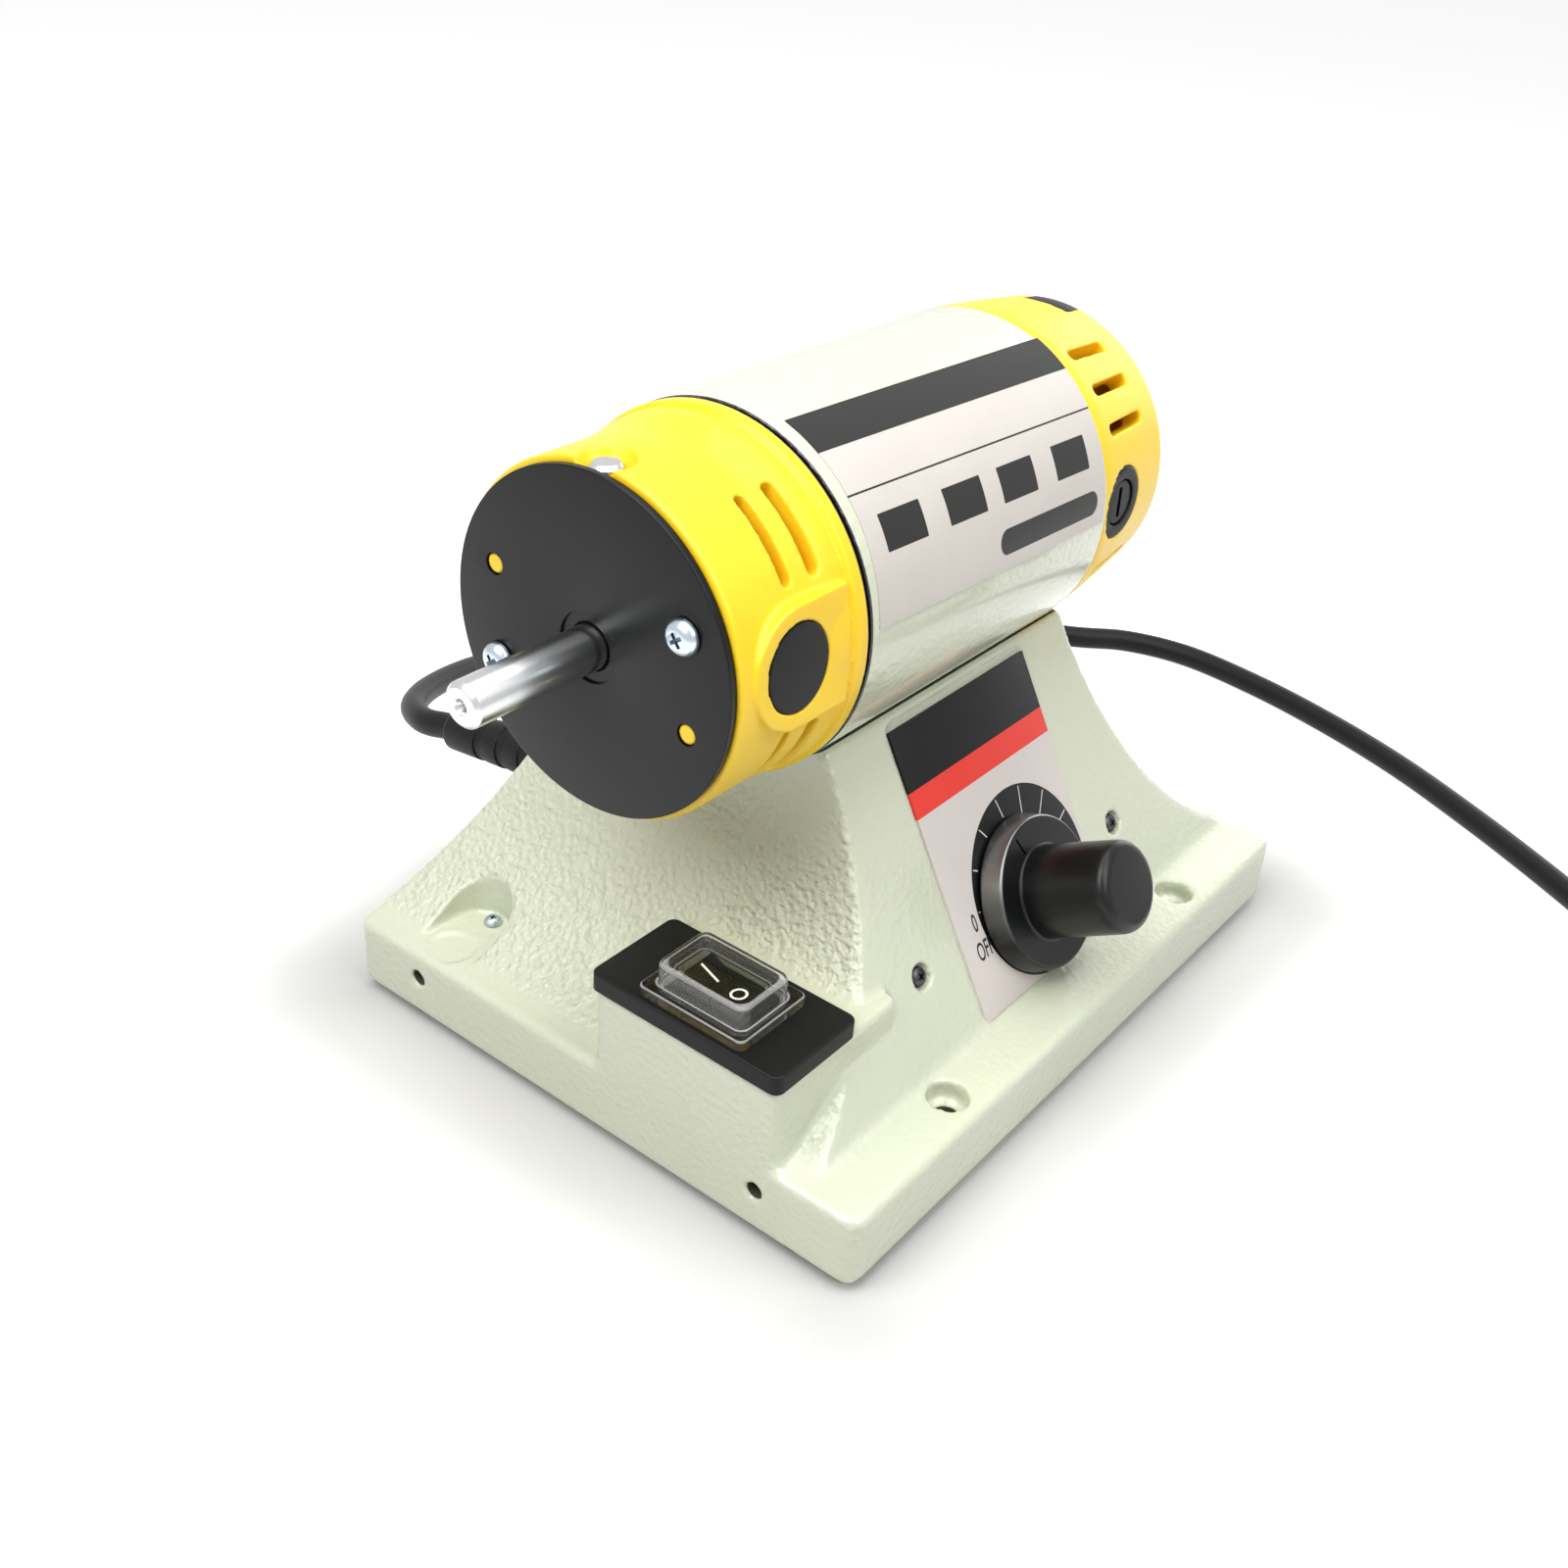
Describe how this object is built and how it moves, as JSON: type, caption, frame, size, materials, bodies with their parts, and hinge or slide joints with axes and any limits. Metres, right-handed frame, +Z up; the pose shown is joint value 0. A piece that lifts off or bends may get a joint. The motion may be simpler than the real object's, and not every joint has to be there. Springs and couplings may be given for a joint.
{
  "type": "bench polishing machine",
  "caption": "Bench polisher: horizontal motor with a long spindle on a cast pedestal, with a sloped speed dial, covered rocker switch and mains lead.",
  "frame": {"origin": "centre of the bounding box at floor level, measured without the cord, its boot and plug", "axes": "+X from the bare spindle end towards the rear housing, +Y from the knob side towards the cord side, +Z up"},
  "size_m": [0.4403, 0.4541, 0.1727],
  "materials": {
    "hammer_paint": "pale ivory-green hammer-texture paint, satin",
    "zinc_steel": "bright zinc plating",
    "bright_steel": "turned and polished steel",
    "brass": "bright brass",
    "black_plastic": "black moulded plastic, satin",
    "gloss_black": "glossy black face disc",
    "yellow_plastic": "warm yellow moulded housing",
    "clear_plastic": "clear soft splash cover",
    "black_rubber": "black rubber",
    "printed_panel": "silver-white printed sheet",
    "circuit_board": "green circuit board",
    "laminated_steel": "laminated electrical steel",
    "copper_winding": "enamelled copper",
    "carbon": "pressed carbon"
  },
  "bodies": {
    "machine": {"base_casting": "hammer_paint", "bottom_plate": "zinc_steel", "rubber_foot_1": "black_rubber", "rubber_foot_2": "black_rubber", "rubber_foot_3": "black_rubber", "rubber_foot_4": "black_rubber", "foot_screw_1": "zinc_steel", "foot_screw_2": "zinc_steel", "foot_screw_3": "zinc_steel", "foot_screw_4": "zinc_steel", "pocket_screw_spindle_side": "zinc_steel", "pocket_screw_rear_side": "zinc_steel", "control_panel_plate": "printed_panel", "potentiometer": "zinc_steel", "potentiometer_nut": "bright_steel", "speed_control_board": "circuit_board", "panel_screw_left": "black_plastic", "panel_screw_right": "black_plastic", "switch_plate": "black_plastic", "rocker_switch_body": "black_plastic", "switch_cover": "clear_plastic", "motor_shell": "hammer_paint", "rating_label": "printed_panel", "stator_core": "laminated_steel", "field_coil_top": "copper_winding", "field_coil_bottom": "copper_winding", "motor_screw_front": "zinc_steel", "motor_screw_rear": "zinc_steel", "front_housing": "yellow_plastic", "front_side_plug": "black_plastic", "face_disc": "gloss_black", "disc_screw_knob_side": "zinc_steel", "disc_screw_cord_side": "zinc_steel", "front_bearing": "bright_steel", "rear_bearing": "bright_steel", "rear_housing": "yellow_plastic", "rear_top_plug": "black_plastic", "brush_holder_knob_side": "black_plastic", "brush_holder_cord_side": "black_plastic", "carbon_brush_knob_side": "carbon", "carbon_brush_cord_side": "carbon", "brush_spring_knob_side": "bright_steel", "brush_spring_cord_side": "bright_steel", "brush_cap_knob_side": "black_plastic", "brush_cap_cord_side": "black_plastic", "cord_boot": "black_rubber", "cord": "black_rubber", "cord_coil": "black_rubber", "plug_body": "black_plastic", "plug_pin_1": "bright_steel", "plug_pin_2": "bright_steel"},
    "rotor": {"spindle": "bright_steel", "cooling_fan": "black_plastic", "armature_core": "laminated_steel", "armature_winding": "copper_winding", "commutator": "copper_winding"},
    "knob": {"speed_knob": "black_plastic", "potentiometer_shaft": "brass"},
    "rocker": {"rocker_paddle": "black_plastic"},
    "lock_pin": {"spindle_lock_pin": "bright_steel"}
  },
  "joints": [
    {"name": "spindle_spin", "type": "hinge", "parent": "machine", "child": "rotor", "pos_m": [0.01628, 0.00288, 0.13045], "axis": [1, 0, 0], "continuous": true},
    {"name": "knob_turn", "type": "hinge", "parent": "machine", "child": "knob", "pos_m": [0.01948, -0.05174, 0.04173], "axis": [0, -0.8703, 0.4925], "range_deg": [-215, 85]},
    {"name": "rocker_tilt", "type": "hinge", "parent": "machine", "child": "rocker", "pos_m": [-0.07472, -0.02892, 0.05185], "axis": [-1, 0, 0], "range_deg": [0, 18]},
    {"name": "lock_pin_press", "type": "slide", "parent": "machine", "child": "lock_pin", "axis": [0, -0.0175, -0.9998], "range_m": [0, 0.003], "stiffness_N_per_m": 600, "springref_m": -0.001}
  ]
}
